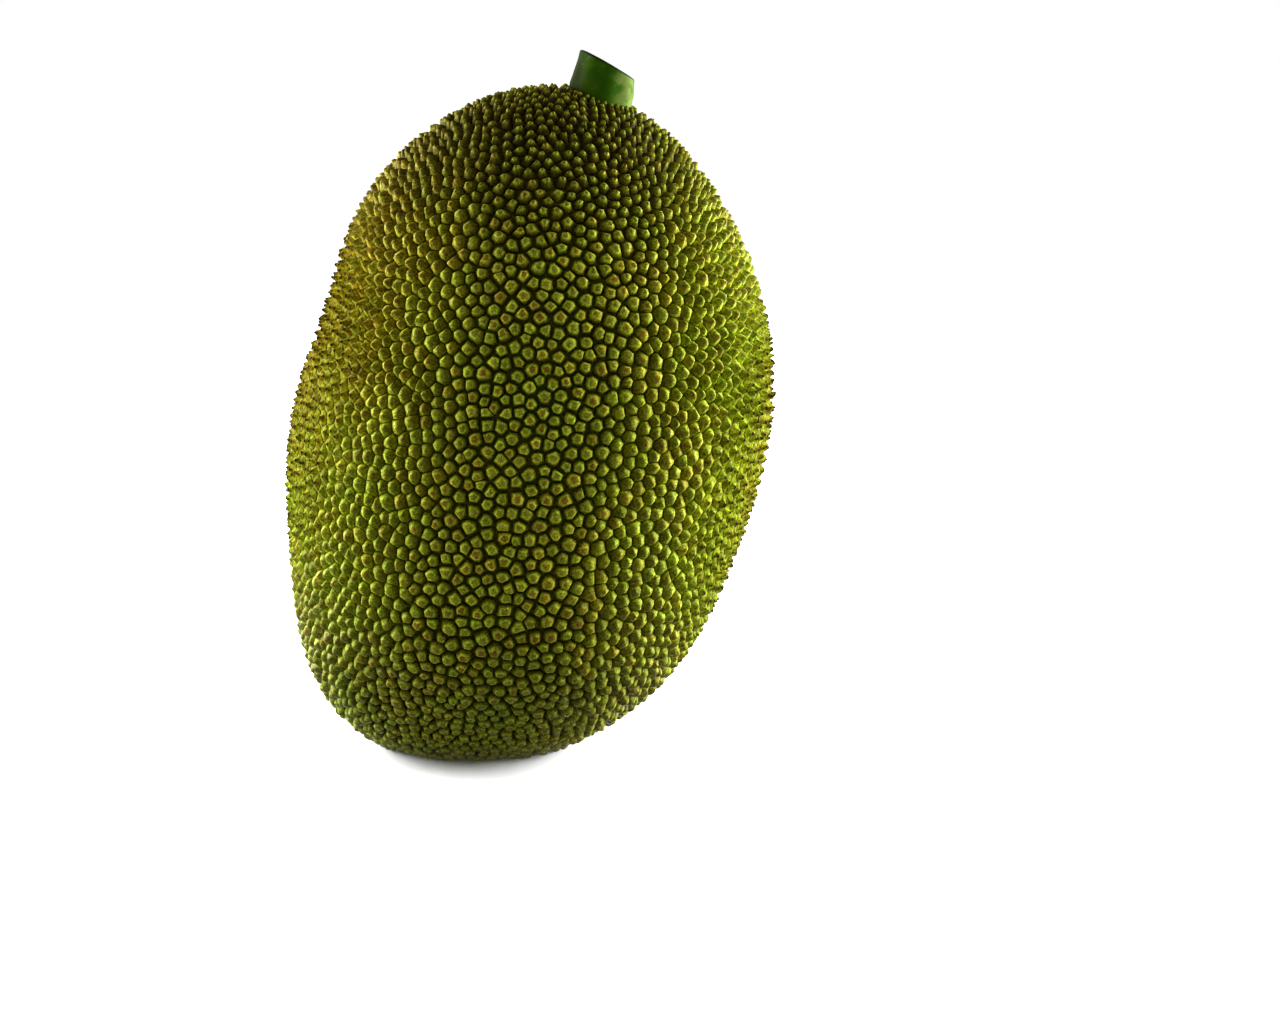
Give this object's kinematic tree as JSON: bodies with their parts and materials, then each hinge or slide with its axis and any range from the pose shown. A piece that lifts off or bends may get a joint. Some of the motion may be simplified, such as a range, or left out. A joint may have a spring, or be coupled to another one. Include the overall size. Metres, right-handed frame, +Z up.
{
  "type": "jackfruit",
  "caption": "Whole jackfruit standing on its blunt end: a leaning egg shape covered all over in blunt pointed knobs, with the cut stub of its stalk at the crown.",
  "frame": {"origin": "on the ground, under the middle of the whole fruit's bounding box", "axes": "+Z up, from the foot to the crown; +X towards the side that the crown leans to; -Y towards the viewer"},
  "size_m": [0.2404, 0.2258, 0.3417],
  "materials": {
    "rind": "satin",
    "stalk_skin": "satin"
  },
  "bodies": {
    "root": {"fruit": "rind", "stalk": "stalk_skin"}
  },
  "joints": []
}
